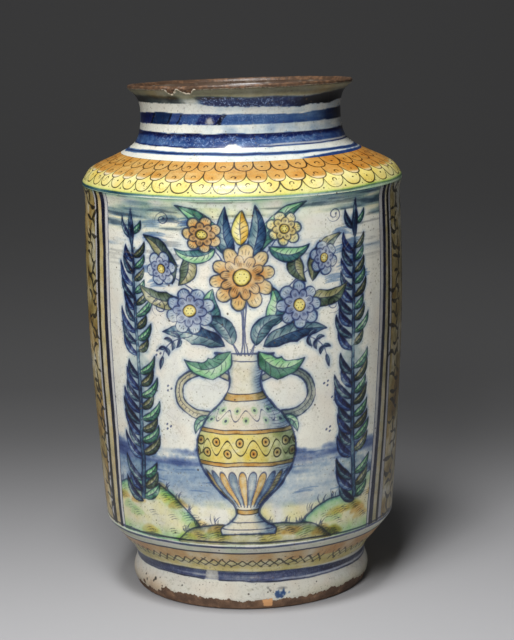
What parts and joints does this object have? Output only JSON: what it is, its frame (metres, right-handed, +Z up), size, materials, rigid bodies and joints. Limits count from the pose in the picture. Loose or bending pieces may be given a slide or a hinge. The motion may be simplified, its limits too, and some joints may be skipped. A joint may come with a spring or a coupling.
{
  "type": "storage jar",
  "caption": "Tall earthenware storage jar with a sloping shoulder, short neck, flared lip and spreading foot, under painted white tin glaze.",
  "frame": {"origin": "centre of the foot's underside, on the surface the jar stands on", "axes": "+Z up along the jar's turned axis, the painted front panel faces -Y, +X is to its right as seen from the front"},
  "size_m": [0.1888, 0.1888, 0.3012],
  "materials": {
    "clay": "dry fired earthenware, worn brown at the lip and foot",
    "tin_glaze": "glossy off-white tin glaze with painted bands, scales and panels",
    "lining_glaze": "thin grey-brown lining glaze"
  },
  "bodies": {
    "root": {"fired_clay_body": "clay", "outer_tin_glaze": "tin_glaze", "inner_lining_glaze": "lining_glaze"}
  },
  "joints": []
}
